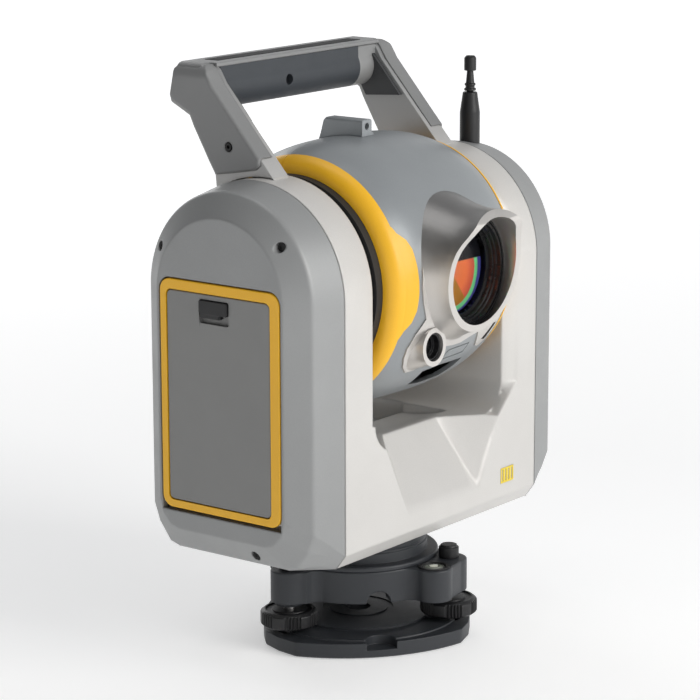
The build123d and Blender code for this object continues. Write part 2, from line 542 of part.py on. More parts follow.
grip = (cylx(GRIP_R, -82.5, 64.0, GRIP_Y, GRIP_Z) + box(-82.5, 64.0, 47.6, 72.4, 376.0, 386.4)) & box(-82.5, 64.0, 40, 80, 350, 386.4)
hole = Pos(0, 0, 0) * cyly(3.6, 43.0, 52.0, -13.5, 371.5)
grip -= hole
keep("handle_grip", grip)
keep("handle_top_strip", box(-76, 76, 55.0, 66.0, 388.0, 389.5))

# ---------------------------------------------------------------------------
# Antenna
# ---------------------------------------------------------------------------
ab = cyl(7.0, ZT + 66.8, ZT + 89.5, AX, AY)
ab += cyl(3.9, ZT + 60.0, ZT + 67.0, AX, AY)
ab = ab + Pos(AX, AY, ZT + 96.5) * Cone(7.0, 5.0, 14.0)
ab -= cover_solid(0.0, X_SEAM + 0.6, X_CREASE, X_OUT) - cyl(3.9, ZT + 50, ZT + 80, AX, AY)
keep("antenna_base", ab)
wh = cyl(2.3, ZT + 103.5, ZT + 106.0, AX, AY) + cyl(4.1, ZT + 104.5, ZT + 106.2, AX, AY) + cyl(3.2, ZT + 106.2, ZT + 108.0, AX, AY)
wh += cyl(3.8, ZT + 108.0, ZT + 109.6, AX, AY)
wh += Pos(AX, AY, ZT + 114.0) * Cone(3.0, 2.2, 8.8)
wh += cyl(4.2, ZT + 118.4, ZT + 127.0, AX, AY) + Pos(AX, AY, ZT + 127.8) * Cone(4.2, 3.0, 1.6)
keep("antenna_whip", wh)

# ---------------------------------------------------------------------------
# Power button at the back of the left arm
# ---------------------------------------------------------------------------
pb = cyly(6.0, 68.0, 73.2, -91.0, ZT - 60.0)
pb = try_fillet(pb, pb.faces().sort_by(Axis.Y)[-1].edges(), 0.8)
keep("power_button", pb)

# ---------------------------------------------------------------------------
# Telescope: drum shells and trim
# ---------------------------------------------------------------------------
def drum_solid(d, pts=DRUM):
    top = Spline(*[(x, r - d) for x, r in pts])
    x0, x1 = pts[0][0], pts[-1][0]
    line = Polyline((x1, pts[-1][1] - d), (x1, 0), (x0, 0), (x0, pts[0][1] - d))
    f = make_face([top, line])
    s = revolve(Plane.XZ * f, Axis.X)
    return Pos(0, 0, ZT) * s


full = drum_solid(0.0)
hollow = drum_solid(3.0)
shell = full - (hollow & cylx(200, -64, 80))
shell = shell + (tubex(66.0, 80.6, -58.0, -55.0) & full) + (tubex(66.0, 78.4, 64.0, 67.0) & full)
shell -= cylx(66.0, -70, 70) - hollow

# front outlines, as (x, z from the trunnion axis)
TAB = [(-66, 52), (-61, 46), (-57.3, 41.5), (-56.0, 38.2), (-51.2, 33.6), (-48.6, 27.7), (-47.6, 17.1), (-47.4, 8.0), (-47.6, -2.0),
       (-48.6, -12.0), (-51.4, -19.6), (-55.6, -24.5), (-57.4, -29.0), (-61, -36), (-66, -44)]
TAB = [(x, ZT + z) for x, z in TAB]
raised = drum_solid(-0.7, [(-60.0, 80.0)] + DRUM)
tab = (xz_prism(TAB, -100, -40) & raised) - drum_solid(2.0, [(-60.0, 80.0)] + DRUM)
tab = tab & box(-58.0, -40, -100, 0, 150, 350)
ring_prof = make_face(Polyline((-58.0, 81.7), (-60.5, 81.0), (-63.0, 79.4), (-65.2, 76.8), (-66.5, 73.3), (-66.5, 67.0), (-58.0, 67.0), close=True))
accent = Pos(0, 0, ZT) * revolve(Plane.XZ * ring_prof, Axis.X)
accent = accent + tab
accent -= box(-70, -50, Y_PART - 0.2, Y_PART + 0.2, ZT + 60, ZT + 90)

er = tubex(70.0, 78.9, 67.0, 69.0)
er = try_chamfer(er, er.edges().filter_by(GeomType.CIRCLE).filter_by(lambda e: e.radius > 78 and e.center().X > 68.5), 0.8)
keep("accent_rings", Compound(children=[accent, er]))
keep("side_discs", Compound(children=[
    tubex(SHAFT_R + 2.0, 70.4, -73.0, -66.5) - tubex(40.0, 62.0, -75.0, -71.5),
    tubex(SHAFT_R + 2.0, 70.0, 69.0, 72.4) - tubex(40.0, 62.0, 71.4, 75.0)]))

# hood base outline on the drum, hood and camera housing in one casting
HB = [(1.0, 55.0), (-12.8, 52.0), (-24.0, 46.0), (-32.5, 37.4), (-39.6, 26.0), (-43.6, 14.0), (-45.0, 3.0), (-43.6, -8.0),
      (-39.4, -18.6), (-45.9, -28.5), (-48.4, -37.8), (-47.2, -45.0), (-43.2, -51.8), (-36.8, -56.8), (-29.5, -56.4),
      (-19.0, -51.4), (-13.0, -46.0), (-8.0, -42.8), (0.0, -43.6), (9.0, -43.4), (18.0, -40.8), (27.0, -39.0), (29.5, -43.0), (34.0, -50.4),
      (38.6, -51.8), (44.5, -49.0), (50.5, -42.0), (54.5, -34.0), (53.0, -26.0), (48.0, -14.0), (46.4, 3.0), (44.0, 18.0), (38.0, 32.0), (29.0, 43.0), (16.0, 51.6)]
HBA = [(x, ZT + z) for x, z in HB]
base_layer = (xz_prism(HBA, -100, -30) & drum_solid(-1.0)) - drum_solid(3.0)
def ring_loft(rows):
    # rows: (y, radius, height of the centre above the trunnion axis)
    return loft([Plane(origin=(0, y, ZT + zc), x_dir=(1, 0, 0), z_dir=(0, -1, 0)) * Circle(r) for y, r, zc in rows])


hood = ring_loft([(-50, 53.4, 6.0), (-66, 51.0, 6.0), (-75, 48.0, 6.5), (-83, 44.6, 7.4), (-91, 41.8, 8.4), (-98, 40.4, 8.9), (-106, 40.1, 9.0), (-121, 40.8, 9.0)])
hood -= drum_solid(0.5)
hood = hood & box(-70, 70, -130, 0, ZT - 60, ZT + 60)
# camera barrel
CAMX, CAMZ = -30.0, -38.6
cam_out = cyly(12.7, -84.6, -60, CAMX, ZT + CAMZ)
cam_fl = Pos(CAMX, -74.0, ZT + CAMZ) * Rot(90, 0, 0) * Cone(17.5, 12.4, 14.0)
# front edge of the hood: level ring below, S-curve up into the visor
cut_pts = [(-130, -70), (-96.4, -70), (-98.0, -34), (-100.0, -17), (-102.0, 3), (-103.1, 12), (-104.2, 19.5), (-105.8, 26), (-108.2, 31.5), (-110.6, 35.5), (-112.0, 39.5), (-112.4, 45), (-112.2, 70), (-130, 70)]
cutter = yz_prism([(y, ZT + z) for y, z in cut_pts], -80, 80)
hood = hood - cutter
hood = hood & cylx(119.8, -80, 80)
casting = base_layer + hood + cam_out + (cam_fl - drum_solid(0.5) - cyly(42.0, -130, -50, 0, ZT + 8.0))
# mouth of the hood, slightly flared
mouth = cyly(37.6, -92.3, -40, 0, ZT + LENS_Z) + ring_loft([(-92.2, 37.6, 7.0), (-96.0, 36.6, 8.2), (-101.0, 35.2, 8.9), (-108.0, 34.9, 9.0), (-124.0, 35.6, 9.0)])
casting -= mouth
casting -= cyly(9.4, -90, -50, CAMX, ZT + CAMZ)
casting -= cylx(79.0, -80, 80) & box(-80, 80, -120, 0, 150, 350) & drum_solid(3.0)
# window in the right tongue
WIN = [(38.0, -46.6), (46.6, -36.4), (51.0, -36.8), (43.6, -47.8)]
win_pr = xz_prism([(x, ZT + z) for x, z in WIN], -100, -50)
casting -= win_pr
keep("lens_hood", casting)
win1 = (xz_prism([(x, ZT + z) for x, z in WIN], -100, -50) & drum_solid(0.6)) - drum_solid(2.6)

# guide window recess low on the front
PK = [(-14.0, -60.5), (2.0, -58.6), (30.0, -58.8), (27.0, -66.0), (22.0, -71.5), (2.0, -73.0), (-14.0, -71.0)]
pk_pr = xz_prism([(x, ZT + z) for x, z in PK], -100, -30)
pocket = (pk_pr & drum_solid(-2)) - cylx(79.5, -80, 80)
win2 = (xz_prism([(-8.0, ZT - 60.6), (26.0, ZT - 60.6), (20.0, ZT - 69.5), (-8.0, ZT - 69.5)], -100, -30) & cylx(81.5, -80, 80)) - cylx(79.0, -80, 80)
keep("sensor_windows", Compound(children=[win1, win2]))

front = shell & box(-90, 90, -120, Y_PART - 0.15, 100, 400)
rear = shell & box(-90, 90, Y_PART + 0.15, 120, 100, 400)
front = front - xz_prism(HBA, -100, -30) - casting
front -= cyly(38.2, -120, -20, 0, ZT + LENS_Z)
front -= (xz_prism(TAB, -100, -40) & box(-58.2, -40, -100, 0, 150, 350)) - drum_solid(2.0, [(-60.0, 80.0)] + DRUM)
front += (pk_pr & drum_solid(2.5)) - cylx(77.0, -80, 80)
front -= pocket
front -= win2
# grooved strip under the hood
front -= ((xz_prism([(0.0, ZT - 47.0), (24.0, ZT - 46.0), (23.0, ZT - 53.4), (-2.0, ZT - 54.4)], -100, -30) - xz_prism([(0.8, ZT - 47.8), (23.2, ZT - 46.8), (22.2, ZT - 52.6), (-1.0, ZT - 53.6)], -100, -30)) - drum_solid(0.7))
front = sorted(front.solids(), key=lambda q: q.volume)[-1]
keep("drum_front_shell", front)
# rear: eyepiece-less back with a shallow service cover outline and two vents
rear -= tubey(24.0, 24.8, 60, 120) - drum_solid(0.8)
sb_hole = box(-5.2, 5.2, -7.8, 24.0, ZT + 80, ZT + 88.5)
keep("drum_rear_shell", rear)

# sight bar on top of the drum
bar_y = yz_prism([(-5.6, ZT + 84.5), (-5.6, ZT + 98.6), (22.0, ZT + 98.6), (24.2, ZT + 96.4), (26.6, ZT + 88.0), (28.8, ZT + 82.0)], -5.2, 5.2)
bar_y = try_fillet(bar_y, bar_y.edges().filter_by(Axis.Y).filter_by(lambda e: e.center().Z > ZT + 95), 1.6)
bar_y -= drum_solid(0.0)
bar_y -= cyly(2.2, -20, 40, 0.0, ZT + 94.0)

sc = box(-5.2, 5.2, -8.0, -5.6, ZT + 84, ZT + 98.6)
sc = try_fillet(sc, sc.edges().filter_by(Axis.Y).filter_by(lambda e: e.center().Z > ZT + 95), 1.6)
sc = (sc + box(-5.2, 7.2, -8.0, -5.6, ZT + 84, ZT + 89.6)) - drum_solid(0.0) - cyly(2.2, -20, 40, 0.0, ZT + 94.0)
keep("sight_bar", bar_y + sc)

# ---------------------------------------------------------------------------
# Telescope: optics and inner frame
# ---------------------------------------------------------------------------
lt = tubey(31.0, 37.5, -92.0, -44.0, 0, ZT + LENS_Z)
lt += tubey(29.0, 34.0, -84.0, -83.0, 0, ZT + LENS_Z)
lt -= tubey(35.0, 36.2, -93.0, -90.8, 0, ZT + LENS_Z)
lt -= tubey(30.0, 33.4, -93.0, -89.0, 0, ZT + LENS_Z)
lt -= tubey(30.0, 32.2, -93.0, -87.0, 0, ZT + LENS_Z)
keep("lens_tube", lt)
lens = cyly(31.0, -83.0, -78.0, 0, ZT + LENS_Z) + ((Pos(0, 0.0, ZT + LENS_Z) * Sphere(86.6)) & cyly(29.0, -92.0, -83.0, 0, ZT + LENS_Z))
keep("objective_lens", lens)
cl = cyly(9.4, -76.5, -66.0, CAMX, ZT + CAMZ) + tubey(7.8, 9.4, -82.5, -76.5, CAMX, ZT + CAMZ)
cl += tubey(5.5, 9.4, -78.5, -76.5, CAMX, ZT + CAMZ) + (cyly(5.6, -78.6, -76.5, CAMX, ZT + CAMZ) & (Pos(CAMX, -69.6, ZT + CAMZ) * Sphere(9.0)))
keep("camera_lens", cl)

# inner frame with the two hollow trunnion shafts
fr = tubex(8.0, SHAFT_R, -98.0, -58.0) + tubex(8.0, SHAFT_R, 58.0, 98.0)
fr += tubex(8.0, 64.0, -64.0, -58.0) + tubex(8.0, 64.0, 58.0, 64.0)
fr += box(-60, 60, -30, 30, ZT - 50, ZT - 44) + box(-60, 60, -30, 30, ZT + 48, ZT + 54)
fr += box(-60, 60, 26, 32, ZT - 50, ZT + 54)
fr += tubex(60.0, 66.0, -64.0, -58.0) + tubex(60.0, 66.0, 58.0, 64.0)
fr -= cyly(30.0, 20, 40, 0, ZT + LENS_Z)
keep("telescope_frame", fr)
keep("trunnion_bearings", Compound(children=[tubex(SHAFT_R + FIT, 18.0, -91.0, -80.0), tubex(SHAFT_R + FIT, 18.0, 80.0, 91.0)]))
keep("tilt_motor", tubex(20.0, 34.0, -105.0, -92.0))
keep("tilt_circle", tubex(SHAFT_R, 30.0, 94.0, 95.6))

# distance meter module and rotating scan prism with its motor housing
em = box(-26, 26, -8, 26.0, ZT - 43.5, ZT + 20) - cyly(19.0, -20, 12, 0, ZT + LENS_Z) - cyly(3.0 + FIT, 0, 20.0, 0, ZT + LENS_Z)
keep("edm_module", em)
pr = cyly(14.0, -24.0, 4.0, 0, ZT + LENS_Z) & Pos(0, -12, ZT + LENS_Z) * Rot(-40, 0, 0) * Pos(0, 14.0, 0) * Box(60, 40, 80)
pr = pr + cyly(3.0, 3.0, 19.0, 0, ZT + LENS_Z)
keep("scan_prism", pr)

# ---------------------------------------------------------------------------
for name, shape in NODES.items():
    solids = shape.solids()
    out = solids[0] if len(solids) == 1 else Compound(children=list(solids))
    export_step(out, "parts/" + name + ".step")
    print(name, len(solids), "solid(s)", round(sum(s.volume for s in solids)), "mm3")
print(len(NODES), "nodes")
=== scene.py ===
import bpy
import bmesh
import math
from mathutils import Vector, Matrix


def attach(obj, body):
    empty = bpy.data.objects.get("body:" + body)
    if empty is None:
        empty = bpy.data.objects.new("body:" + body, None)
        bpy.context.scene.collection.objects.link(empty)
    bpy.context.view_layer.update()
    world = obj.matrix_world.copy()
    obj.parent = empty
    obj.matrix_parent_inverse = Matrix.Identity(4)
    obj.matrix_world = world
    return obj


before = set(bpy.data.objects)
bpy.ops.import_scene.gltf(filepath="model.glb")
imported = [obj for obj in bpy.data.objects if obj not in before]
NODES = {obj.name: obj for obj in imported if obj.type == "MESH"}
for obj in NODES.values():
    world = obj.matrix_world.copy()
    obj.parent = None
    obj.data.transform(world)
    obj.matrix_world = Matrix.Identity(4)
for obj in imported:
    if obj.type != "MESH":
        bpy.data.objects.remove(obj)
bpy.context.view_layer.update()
ZT = 0.249
LZ = ZT + 0.007
scene = bpy.context.scene

# ---------------------------------------------------------------- camera
cam_data = bpy.data.cameras.new("cam")
cam_data.sensor_width = 36.0
cam_data.lens = 142.666
cam_data.clip_start = 0.05
cam_data.clip_end = 60.0
cam = bpy.data.objects.new("cam", cam_data)
scene.collection.objects.link(cam)
R = Vector((0.60588533, -0.7955487, -0.00228986))
U = Vector((0.17559235, 0.13092168, 0.97571863))
F = Vector((0.77593189, 0.59157568, -0.21901579))
rot = Matrix((R, U, -F)).transposed().to_4x4()
cam.matrix_world = Matrix.Translation(Vector((-1.44352398, -1.0940647, 0.59836108))) @ rot
scene.camera = cam
scene.view_settings.view_transform = "Standard"
scene.view_settings.look = "None"

# ---------------------------------------------------------------- light
world = bpy.data.worlds.new("studio")
scene.world = world
world.use_nodes = True
wn, wl = world.node_tree.nodes, world.node_tree.links
wn.clear()
w_out = wn.new("ShaderNodeOutputWorld")
w_bg = wn.new("ShaderNodeBackground")
w_tc = wn.new("ShaderNodeTexCoord")
w_sep = wn.new("ShaderNodeSeparateXYZ")
w_ramp = wn.new("ShaderNodeValToRGB")
w_ramp.color_ramp.elements[0].position = 0.40
w_ramp.color_ramp.elements[0].color = (0.90, 0.905, 0.91, 1)
w_ramp.color_ramp.elements[1].position = 0.95
w_ramp.color_ramp.elements[1].color = (0.27, 0.275, 0.285, 1)
w_map = wn.new("ShaderNodeMapRange")
w_map.inputs[1].default_value = -1.0
w_map.inputs[2].default_value = 1.0
wl.new(w_tc.outputs["Generated"], w_sep.inputs[0])
wl.new(w_sep.outputs[2], w_map.inputs[0])
wl.new(w_map.outputs[0], w_ramp.inputs[0])
# the room is dimmer on the battery side than in front
w_dir = wn.new("ShaderNodeVectorMath")
w_dir.operation = "DOT_PRODUCT"
w_dir.inputs[1].default_value = (0.86, -0.5, 0.0)
wl.new(w_tc.outputs["Generated"], w_dir.inputs[0])
w_dim = wn.new("ShaderNodeMapRange")
w_dim.inputs[1].default_value = -0.75
w_dim.inputs[2].default_value = 0.02
w_dim.inputs[3].default_value = 0.10
w_dim.inputs[4].default_value = 1.12
wl.new(w_dir.outputs["Value"], w_dim.inputs[0])
wl.new(w_ramp.outputs[0], w_bg.inputs[0])
wl.new(w_dim.outputs[0], w_bg.inputs[1])
wl.new(w_bg.outputs[0], w_out.inputs[0])


def area(name, loc, target, size, power, color=(1, 1, 1), size_y=None):
    d = bpy.data.lights.new(name, "AREA")
    d.shape = "RECTANGLE"
    d.size = size
    d.size_y = size_y or size
    d.energy = power
    d.color = color
    o = bpy.data.objects.new(name, d)
    scene.collection.objects.link(o)
    o.location = loc
    o.rotation_euler = (Vector(target) - Vector(loc)).to_track_quat("-Z", "Y").to_euler()
    return o


area("key", (0.30, -2.6, 1.35), (0, 0, 0.2), 1.5, 42.0, (1.0, 0.99, 0.97), 1.7)
area("fill", (-2.4, -0.6, 0.9), (0, 0, 0.22), 1.2, 1.5, (0.97, 0.99, 1.0), 1.4)
area("top", (-0.1, 0.4, 2.4), (0, 0, 0.25), 1.3, 7.0)
area("back", (1.3, 2.4, 1.3), (0, 0, 0.3), 1.2, 10.0)

floor_me = bpy.data.meshes.new("floor")
floor_me.from_pydata([(-14, -14, 0), (14, -14, 0), (14, 14, 0), (-14, 14, 0)], [], [(0, 1, 2, 3)])
floor = bpy.data.objects.new("floor", floor_me)
scene.collection.objects.link(floor)
floor.location.z = -0.0004


# ---------------------------------------------------------------- materials
class Mat:
    """One procedural material, built in object space (metres)."""

    def __init__(self, name, color, rough, metallic=0.0, **sock):
        self.m = bpy.data.materials.new(name)
        self.m.use_nodes = True
        self.n = self.m.node_tree.nodes
        self.l = self.m.node_tree.links
        self.p = self.n["Principled BSDF"]
        self.p.inputs["Metallic"].default_value = metallic
        self.p.inputs["Base Color"].default_value = (*color, 1)
        self.p.inputs["Roughness"].default_value = rough
        for k, v in sock.items():
            self.p.inputs[k.replace("_", " ")].default_value = v
        self.color = color
        self.rough = rough
        self.tc = self.n.new("ShaderNodeTexCoord")
        self.cur = None          # colour chain
        self.h = None            # height chain

    def noise(self, scale, detail=4.0, rough=0.55, stretch=None):
        t = self.n.new("ShaderNodeTexNoise")
        t.inputs["Scale"].default_value = scale
        t.inputs["Detail"].default_value = detail
        t.inputs["Roughness"].default_value = rough
        src = self.tc.outputs["Object"]
        if stretch:
            mp = self.n.new("ShaderNodeMapping")
            mp.inputs["Scale"].default_value = stretch
            self.l.new(src, mp.inputs["Vector"])
            src = mp.outputs["Vector"]
        self.l.new(src, t.inputs["Vector"])
        return t.outputs["Fac"]

    def voronoi(self, scale, feature="F1"):
        t = self.n.new("ShaderNodeTexVoronoi")
        t.feature = feature
        t.inputs["Scale"].default_value = scale
        self.l.new(self.tc.outputs["Object"], t.inputs["Vector"])
        return t.outputs["Distance"]

    def ramp(self, fac, stops):
        r = self.n.new("ShaderNodeValToRGB")
        r.color_ramp.elements[0].position, r.color_ramp.elements[0].color = stops[0][0], (*stops[0][1], 1)
        r.color_ramp.elements[1].position, r.color_ramp.elements[1].color = stops[-1][0], (*stops[-1][1], 1)
        for pos, c in stops[1:-1]:
            e = r.color_ramp.elements.new(pos)
            e.color = (*c, 1)
        self.l.new(fac, r.inputs[0])
        return r.outputs[0]

    def rng(self, fac, a, b, c, d):
        m = self.n.new("ShaderNodeMapRange")
        for i, v in enumerate((a, b, c, d)):
            m.inputs[i + 1].default_value = v
        self.l.new(fac, m.inputs[0])
        return m.outputs[0]

    def math(self, op, a, b):
        m = self.n.new("ShaderNodeMath")
        m.operation = op
        for i, v in enumerate((a, b)):
            if isinstance(v, (int, float)):
                m.inputs[i].default_value = v
            else:
                self.l.new(v, m.inputs[i])
        return m.outputs[0]

    def mix(self, fac, a, b, blend="MIX"):
        m = self.n.new("ShaderNodeMix")
        m.data_type = "RGBA"
        m.blend_type = blend
        for idx, v in ((0, fac), (6, a), (7, b)):
            if isinstance(v, (int, float)):
                m.inputs[idx].default_value = v
            elif isinstance(v, tuple):
                m.inputs[idx].default_value = (*v, 1)
            else:
                self.l.new(v, m.inputs[idx])
        return m.outputs[2]

    def mottle(self, scale=14.0, amount=0.05, tint=(1.0, 1.0, 1.0)):
        c = self.color
        lo = tuple(max(0, x * (1 - amount)) for x in c)
        hi = tuple(min(1, x * (1 + amount) * t) for x, t in zip(c, tint))
        self.cur = self.ramp(self.noise(scale, 6.0), [(0.3, lo), (0.7, hi)])
        return self

    def speckle(self, scale=2500.0, amount=0.06):
        base = self.cur if self.cur is not None else self.color
        f = self.rng(self.noise(scale, 2.0), 0.35, 0.65, 1.0 - amount, 1.0 + amount)
        comb = self.n.new("ShaderNodeCombineColor")
        for i in range(3):
            self.l.new(f, comb.inputs[i])
        self.cur = self.mix(1.0, base, comb.outputs[0], "MULTIPLY")
        return self

    def wear(self, color, strength=0.6, lo=0.53, hi=0.62, scale=60.0):
        g = self.n.new("ShaderNodeNewGeometry")
        e = self.rng(g.outputs["Pointiness"], lo, hi, 0.0, strength)
        k = self.rng(self.noise(scale, 8.0, 0.7), 0.42, 0.62, 0.0, 1.0)
        f = self.math("MULTIPLY", e, k)
        base = self.cur if self.cur is not None else self.color
        self.cur = self.mix(f, base, color)
        return self

    def dust(self, color, amount=0.25, scale=30.0):
        """A little dust on faces that look up."""
        g = self.n.new("ShaderNodeNewGeometry")
        s = self.n.new("ShaderNodeSeparateXYZ")
        self.l.new(g.outputs["Normal"], s.inputs[0])
        up = self.rng(s.outputs[2], 0.3, 1.0, 0.0, amount)
        k = self.rng(self.noise(scale, 8.0, 0.7), 0.35, 0.7, 0.2, 1.0)
        base = self.cur if self.cur is not None else self.color
        self.cur = self.mix(self.math("MULTIPLY", up, k), base, color)
        return self

    def bump(self, *layers, strength=1.0, distance=0.001):
        """layers: (height socket, weight)"""
        h = None
        for s, w in layers:
            t = self.math("MULTIPLY", s, w)
            h = t if h is None else self.math("ADD", h, t)
        b = self.n.new("ShaderNodeBump")
        b.inputs["Strength"].default_value = strength
        b.inputs["Distance"].default_value = distance
        self.l.new(h, b.inputs["Height"])
        self.l.new(b.outputs[0], self.p.inputs["Normal"])
        return self

    def round_edges(self, radius):
        bv = self.n.new("ShaderNodeBevel")
        bv.inputs["Radius"].default_value = radius
        for nd in self.n:
            if nd.bl_idname == "ShaderNodeBump":
                self.l.new(bv.outputs[0], nd.inputs["Normal"])
        return self

    def roughen(self, scale=40.0, amount=0.08):
        r = self.rng(self.noise(scale, 6.0, 0.6), 0.3, 0.7, max(0.02, self.rough - amount), min(1.0, self.rough + amount))
        self.l.new(r, self.p.inputs["Roughness"])
        return self

    def done(self):
        if self.cur is not None:
            self.l.new(self.cur, self.p.inputs["Base Color"])
        return self.m


def paint(name, color, rough, metallic=0.0, grain=1800.0, depth=0.00006, mott=0.035, wear_c=None, soft=0.0, **kw):
    m = Mat(name, color, rough, metallic, **kw)
    m.mottle(11.0, mott).speckle(2600.0, 0.035)
    if wear_c:
        m.wear(wear_c)
    m.roughen(55.0, 0.05)
    m.bump((m.noise(grain, 3.0), 1.0), (m.noise(grain * 0.28, 3.0), 0.5), strength=0.7, distance=depth)
    if soft:
        m.round_edges(soft)
    return m.done()


M = {}
M["silver"] = paint("silver_paint", (0.63, 0.615, 0.592), 0.40, 0.25, depth=0.00004, soft=0.0025)
M["cover"] = paint("cover_grey", (0.315, 0.32, 0.32), 0.42, 0.25, grain=2200.0, depth=0.00008, soft=0.0018)
M["door"] = paint("door_grey", (0.25, 0.25, 0.245), 0.5, 0.1, grain=2400.0, depth=0.00009)
M["drum"] = paint("drum_grey", (0.295, 0.313, 0.325), 0.37, 0.25, grain=2200.0, depth=0.00004)


def zoned_handle():
    """Silver that runs into a darker grey towards the top, by the grip."""
    m = Mat("handle_paint", (0.50, 0.495, 0.485), 0.40, 0.25)
    m.mottle(11.0, 0.03).speckle(2600.0, 0.03)
    s_ = m.n.new("ShaderNodeSeparateXYZ")
    m.l.new(m.tc.outputs["Object"], s_.inputs[0])
    f = m.rng(s_.outputs[2], 0.320, 0.385, 0.0, 1.0)
    m.cur = m.mix(f, m.cur, (0.25, 0.252, 0.252))
    m.roughen(55.0, 0.05)
    m.bump((m.noise(1800.0, 3.0), 1.0), strength=0.7, distance=0.00004)
    return m.done()


def zoned_vial(cx, cy):
    """Level bubble: pale liquid, dark reticle ring, bright bubble."""
    m = Mat("vial_glass", (0.75, 0.8, 0.45), 0.05, 0.0)
    s_ = m.n.new("ShaderNodeSeparateXYZ")
    m.l.new(m.tc.outputs["Object"], s_.inputs[0])
    ax = m.math("SUBTRACT", s_.outputs[0], cx)
    ay = m.math("SUBTRACT", s_.outputs[1], cy)
    r_ = m.math("SQRT", m.math("ADD", m.math("MULTIPLY", ax, ax), m.math("MULTIPLY", ay, ay)), 0.0)
    q = m.math("DIVIDE", m.math("ADD", r_, m.math("MULTIPLY", m.noise(300.0, 2.0), 0.0002)), 0.008)
    m.cur = m.ramp(q, [(0.0, (0.82, 0.84, 0.70)), (0.36, (0.74, 0.77, 0.60)), (0.40, (0.03, 0.03, 0.03)), (0.47, (0.03, 0.03, 0.03)),
                       (0.50, (0.30, 0.33, 0.26)), (0.80, (0.16, 0.17, 0.15)), (1.0, (0.02, 0.02, 0.02))])
    m.p.inputs["Coat Weight"].default_value = 0.8
    m.roughen(60.0, 0.02)
    return m.done()


M["handle"] = zoned_handle()
M["yellow"] = paint("yellow", (0.93, 0.50, 0.020), 0.36, 0.0, depth=0.00003, mott=0.02)

def nickel_with_painted_reflection():
    """Satin nickel with a painted reflection: faces turned up are darkened, standing in for the dim ceiling they
    mirror.
    """
    m = Mat("nickel_with_painted_reflection", (0.66, 0.635, 0.605), 0.33, 0.82)
    m.mottle(11.0, 0.02).speckle(2600.0, 0.03)
    g = m.n.new("ShaderNodeNewGeometry")
    s_ = m.n.new("ShaderNodeSeparateXYZ")
    m.l.new(g.outputs["Normal"], s_.inputs[0])
    # painted reflection: faces turned up run into a dark grey, as if they mirrored the dim ceiling
    m.cur = m.mix(m.rng(s_.outputs[2], 0.15, 0.75, 0.0, 0.85), m.cur, (0.20, 0.197, 0.195))
    m.roughen(55.0, 0.05)
    m.bump((m.noise(3000.0, 3.0), 1.0), strength=0.7, distance=0.00003)
    return m.done()


M["nickel"] = nickel_with_painted_reflection()
M["charcoal"] = paint("charcoal", (0.027, 0.030, 0.035), 0.47, 0.0, grain=1500.0, depth=0.0001)
M["black"] = paint("black_plastic", (0.008, 0.008, 0.009), 0.42, 0.0, grain=1600.0, depth=0.00008)
M["grip"] = paint("slate_grip", (0.040, 0.046, 0.054), 0.55, 0.0, grain=1300.0, depth=0.00012)
M["dark"] = paint("dark_trim", (0.05, 0.051, 0.053), 0.6, 0.0)
M["disc"] = paint("black_disc", (0.016, 0.016, 0.017), 0.6, 0.0)
M["screw"] = paint("dark_screw", (0.02, 0.02, 0.02), 0.35, 0.6)
M["pad"] = paint("pad_grey", (0.235, 0.237, 0.237), 0.46, 0.15, grain=2200.0, depth=0.00008, soft=0.002)
M["rubber"] = paint("rubber", (0.016, 0.016, 0.017), 0.75, 0.0)
M["steel"] = paint("steel", (0.52, 0.51, 0.50), 0.3, 1.0, depth=0.00002)
M["alu"] = paint("machined_alloy", (0.55, 0.56, 0.57), 0.35, 1.0, depth=0.00002)
M["badge"] = paint("badge_yellow", (0.80, 0.62, 0.05), 0.4, 0.0, depth=0.00002, mott=0.02)
M["copper"] = paint("winding", (0.45, 0.2, 0.08), 0.4, 0.7)
M["pcb"] = paint("board", (0.02, 0.13, 0.06), 0.4, 0.0)
M["black_gloss"] = paint("anodised_black", (0.008, 0.008, 0.009), 0.28, 0.0, depth=0.00002)


def glass_mat(name, tint, rough=0.03, transmission=0.0, **kw):
    m = Mat(name, tint, rough, 0.0, **kw)
    m.p.inputs["Transmission Weight"].default_value = transmission
    m.p.inputs["IOR"].default_value = 1.52
    m.mottle(40.0, 0.03)
    m.bump((m.noise(900.0, 2.0), 1.0), strength=0.15, distance=0.00001)
    return m


gm = glass_mat("window_glass", (0.012, 0.013, 0.016), 0.05)
M["window"] = gm.done()
M["vial"] = zoned_vial(-0.0014, -0.0644)
gm = glass_mat("circle_glass", (0.6, 0.65, 0.65), 0.05, 0.5)
M["circle"] = gm.done()
gm = glass_mat("front_lens", (1.0, 1.0, 1.0), 0.01, 1.0)
gm.p.inputs["IOR"].default_value = 1.08
M["lens"] = gm.done()


